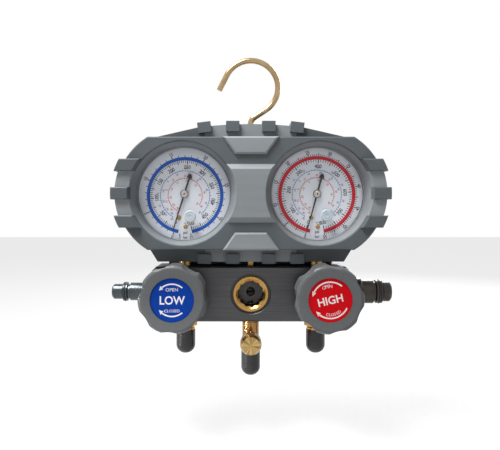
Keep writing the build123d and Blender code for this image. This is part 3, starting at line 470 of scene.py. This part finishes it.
rim_plastic = Finish("lens_rim", roughness=0.25)
rim_plastic.feed("Base Color", rim_plastic.blend(rim_plastic.noise(300.0),
                                                 (0.36, 0.39, 0.43), (0.46, 0.49, 0.53)))
pit = Finish("hub_pit", roughness=0.5)
pit.feed("Base Color", pit.blend(pit.noise(2000.0), (0.01, 0.01, 0.01), (0.03, 0.028, 0.025)))
for side in ("low", "high"):
    near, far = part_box(f"{side}_lens")
    middle = ((near[0] + far[0]) / 2, near[1], (near[2] + far[2]) / 2)
    for ring, (inner, outer) in enumerate(((0.0318, 0.0323), (0.0328, 0.0334))):
        lathed(f"{side}_lens_rim_{ring}", middle, [(inner, -0.0004), (outer, -0.0004), (outer, 0.00005),
               ((inner + outer) / 2, 0.0003), (inner, 0.00005)], rim_plastic)
    near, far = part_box(f"{side}_lens_plug")
    middle = ((near[0] + far[0]) / 2, near[1], (near[2] + far[2]) / 2)
    radius = (far[0] - near[0]) / 2
    for ring, share in enumerate((0.42, 0.80)):
        lathed(f"{side}_plug_ring_{ring}", middle,
               [(radius * share - 0.0003, -0.0001), (radius * share + 0.0003, -0.0001), (radius * share, 0.00035)],
               milky, steps=48)
    near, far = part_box(f"{side}_needle")
    hub = (math.copysign(GAUGE_X, near[0] + far[0]), near[1], GAUGE_Z)
    lathed(f"{side}_hub_edge", hub,
           [(0.0020, -0.0001), (0.0028, -0.0001), (0.0028, 0.0001), (0.0020, 0.00022)],
           pit, f"{side}_needle_body", 48)
    lathed(f"{side}_hub_pit", (hub[0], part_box(f"{side}_pinion")[0][1], hub[2]),
           [(0.00001, 0.00012), (0.00055, 0.00012), (0.00055, -0.0001), (0.00001, -0.0001)],
           pit, f"{side}_needle_body", 16)
needle_paint = Finish("needle_black", roughness=0.35)
needle_paint.feed("Base Color", needle_paint.blend(needle_paint.noise(900.0), (0.008, 0.008, 0.009),
                                                   (0.02, 0.02, 0.022)))
for side, zero in (("low", 17.4), ("high", 15.3)):
    near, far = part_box(f"{side}_needle")
    meet = math.degrees(math.asin(0.6 / 2.8))
    hub_arc = [(2.8 * math.sin(math.radians(a)), -2.8 * math.cos(math.radians(a)))
               for a in (meet + (180 - 2 * meet) * k / 16 for k in range(17))]
    half = [(0.26, -27.0), *hub_arc, (0.64, 11.7), (1.85, 11.0), (1.5, 13.2), (0.6, 14.4)]
    swing = math.radians(zero)
    outline = [(u * math.cos(swing) + v * math.sin(swing), v * math.cos(swing) - u * math.sin(swing))
               for u, v in half + [(-u, v) for u, v in reversed(half)]]
    count, hub_x = len(outline), math.copysign(GAUGE_X, near[0] + far[0])
    corners = [(hub_x + u / 1000, y, GAUGE_Z + v / 1000) for y in (near[1], far[1]) for u, v in outline]
    faces = [tuple(range(count)), tuple(reversed(range(count, 2 * count)))]
    faces += [((k + 1) % count, k, count + k, count + (k + 1) % count) for k in range(count)]
    pointer = new_piece(f"{side}_pointer", corners, faces, needle_paint,
                        f"{side}_needle_body")
    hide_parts(f"{side}_needle")


# ---- Knobs ------------------------------------------------------------------------------
# Grey moulded hand wheels with seven finger flutes, held by a screw under a round label. Behind
# them are bright stems, brass bonnets and black rubber seats and rings.
knob_plastic = moulded("knob_grey", (0.094, 0.099, 0.103), (0.110, 0.115, 0.119), 3500.0, 0.34)
knob_plastic.coat("low_knob", "high_knob")
rubber = Finish("black_rubber", roughness=0.5)
rubber.feed("Base Color", rubber.blend(rubber.noise(800.0), (0.012, 0.012, 0.012), (0.025, 0.025, 0.025)))
rubber.coat("low_valve_seat", "high_valve_seat", "stem_rings", "sight_gasket", "post_rings")
bright.coat("low_valve_stem", "high_valve_stem")
brass.coat("low_bonnet", "high_bonnet")


# ---- Knob labels ------------------------------------------------------------------------
# Round polyester labels let into the knobs, blue for the low side and red for the high side,
# each printed in white with the way to turn.
blue = Finish("label_blue", roughness=0.32, specular_ior_level=0.12)
blue.feed("Base Color", blue.blend(blue.noise(200.0), (0.0, 0.034, 0.27), (0.0, 0.044, 0.32)))
blue.coat("low_knob_label")
red = Finish("label_red", roughness=0.32, specular_ior_level=0.12)
red.feed("Base Color", red.blend(red.noise(200.0), (0.56, 0.0, 0.003), (0.64, 0.0, 0.006)))
red.coat("high_knob_label")
white_ink = ink("white_ink", (0.88, 0.84, 0.84), (0.78, 0.74, 0.74))
labels = {
    "low": {"word": "LOW", "height": 0.0052, "wide": 0.93, "turn": 0.0, "arc": 0.0104, "span": 40,
            "curved": False},
    "high": {"word": "HIGH", "height": 0.0049, "wide": 0.98, "turn": 13.0, "arc": 0.0117, "span": 52,
             "curved": True},
}
for side, print_of in labels.items():
    low_corner, high_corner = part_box(f"{side}_knob_label")
    text = Printing(f"{side}_label_print", (low_corner[0] + high_corner[0]) / 2,
                    (low_corner[2] + high_corner[2]) / 2, low_corner[1] - 0.00003)
    turn, arc, span = print_of["turn"], print_of["arc"], print_of["span"]
    text.words(print_of["word"], print_of["height"], 0, 0, turn, print_of["wide"], 0.026)
    for middle, head in ((180 - turn, -1), (-turn, 1)):
        text.band(arc - 0.00045, arc + 0.00045, middle - span, middle + span)
        tip, barb = middle + head * (span + 13), middle + head * (span - 2)
        text.patch([text.spot(arc, tip), text.spot(arc - 0.0014, barb), text.spot(arc + 0.0014, barb)][::head])
    for word, middle, height in (("OPEN", 180 - turn, 0.0021), ("CLOSED", -turn, 0.0018)):
        above = middle > 90
        if print_of["curved"]:
            pitch = 9.5 if above else 10.0
            for k, letter in enumerate(word):
                angle = middle + (k - (len(word) - 1) / 2) * (pitch if above else -pitch)
                u, v = text.spot(0.0091 if above else 0.0094, angle)
                text.words(letter, height, u, v, 180 - angle if above else -angle, 1.0, 0.0)
        else:
            u, v = text.spot(0.0068, middle)
            text.words(word, height, u, v, turn, 1.05, 0.0)
    text.piece(white_ink, f"{side}_valve_body")


# ---- Sight glass ------------------------------------------------------------------------
# Nearly clear glass under a brass ring with a star-shaped window, screwed into the bar's front.
# The dark bore behind it shows through.
brass.coat("sight_ring")
glass = Finish("clear_glass", roughness=0.02, transmission_weight=1.0, ior=1.12)
glass.feed("Base Color", glass.blend(glass.noise(120.0), (0.86, 0.84, 0.80), (0.93, 0.91, 0.88)))
glass.coat("sight_glass")


# ---- Ports and posts --------------------------------------------------------------------
# Brass flare unions with cut threads and glossy black soft caps, a knurled brass service cap on the
# tee, and two turned, plated posts in the ends of the bar, each with a rubber ring.
SERVICE_Z, THREAD_R, THREAD_PITCH, KNURLS = -0.196, 0.00555, 0.00127, 44
brass.coat("low_port_fitting", "high_port_fitting", "valve_core")
forged = turned_metal("tee_brass", (0.22, 0.10, 0.035), (0.46, 0.26, 0.10), 0.27)
forged.coat("centre_tee")
spun = Finish("spun_brass", metallic=1.0)
# painted sheen: the face's brass colour is streaked brighter and darker by angle round the cap's axis, standing in
# for the reflection of its spun face
spot = spun.place()
across = spun.node("ShaderNodeSeparateXYZ", {}, {"Vector": spot}, "X")
upward = spun.node("ShaderNodeSeparateXYZ", {}, {"Vector": spot}, "Z") + abs(SERVICE_Z)
sweep = upward.sum_of("ARCTAN2", upward, across)
sheen = spun.node("ShaderNodeTexNoise", {"noise_dimensions": "1D"},
                  {"W": sweep * 2.2, "Scale": 1.0, "Detail": 4.0}, "Fac")
painted_sheen_rays = spun.ramp(sheen, (0.35, (0.26, 0.15, 0.05)), (0.65, (0.60, 0.42, 0.18)))
spun.feed("Base Color", painted_sheen_rays)
spun.feed("Roughness", spun.noise(1500.0) * 0.15 + 0.2)
spun.coat("service_cap")


def thread(name, foot, axis, turns, steps=28):
    """Helical ridge of a flare thread, from a point on the axis along a unit direction."""
    foot, axis = Vector(foot), Vector(axis)
    side = Vector((1, 0, 0))
    up = axis.cross(side)
    corners, faces = [], []
    for k in range(round(turns * steps) + 1):
        turn = 2 * math.pi * k / steps
        out = side * math.cos(turn) + up * math.sin(turn)
        fade = min(1.0, k / 8, (turns * steps - k) / 8)
        rise = THREAD_PITCH * k / steps
        for reach, slide in ((-0.0001, -0.4), (0.00008 + 0.00022 * fade, 0.0), (-0.0001, 0.4)):
            corners.append(foot + axis * (rise + slide * THREAD_PITCH) + out * (THREAD_R + reach))
    for k in range(len(corners) // 3 - 1):
        faces += [(3 * k + j, 3 * k + (j + 1) % 3, 3 * k + 3 + (j + 1) % 3, 3 * k + 3 + j) for j in range(3)]
    faces += [(0, 2, 1), (len(corners) - 3, len(corners) - 2, len(corners) - 1)]
    new_piece(name, corners, faces, brass)


thread("low_port_thread", (-GAUGE_X, 0, -0.1903), (0, 0, -1), 7.5)
thread("high_port_thread", (GAUGE_X, 0, -0.1903), (0, 0, -1), 7.5)
thread("centre_port_thread", (0, 0, -0.2061), (0, 0, -1), 7.5)
thread("branch_thread", (0, -0.0131, SERVICE_Z), (0, -1, 0), 5.0)
corners, faces = [], []
for k in range(KNURLS):
    turn = 2 * math.pi * k / KNURLS
    for reach, swing in ((0.0070, -0.045), (0.0074, 0.0), (0.0070, 0.045)):
        for depth in (0.0142, 0.0220):
            corners.append((reach * math.cos(turn + swing), -depth,
                            SERVICE_Z + reach * math.sin(turn + swing)))
    base = 6 * k
    faces += [(base, base + 1, base + 3, base + 2), (base + 2, base + 3, base + 5, base + 4),
              (base + 4, base + 5, base + 1, base), (base, base + 2, base + 4), (base + 1, base + 5, base + 3)]
new_piece("service_cap_knurl", corners, faces, brass, "service_cap_body")
cap_black = Finish("cap_black", roughness=0.20, specular_ior_level=0.40)
cap_black.feed("Base Color", cap_black.blend(cap_black.noise(500.0),
                                             (0.010, 0.010, 0.010), (0.020, 0.020, 0.020)))
cap_black.coat("low_port_cap", "high_port_cap", "centre_cap")
steel_post = turned_metal("post_steel", (0.05, 0.058, 0.064), (0.11, 0.125, 0.135), 0.30)
bronze_post = turned_metal("post_bronze", (0.030, 0.027, 0.025), (0.075, 0.068, 0.06), 0.30)
steel_post.coat("low_parking_post")
bronze_post.coat("high_parking_post")


# ---- Hook -------------------------------------------------------------------------------
# One bent wire, yellow zinc plated, whose shank turns in a brass nut on the top of the bar.
wire = turned_metal("hook_wire", (0.30, 0.20, 0.10), (0.52, 0.38, 0.21), 0.19, 2500.0, 0.000001)
wire.coat("hook")
brass.coat("hook_nut")
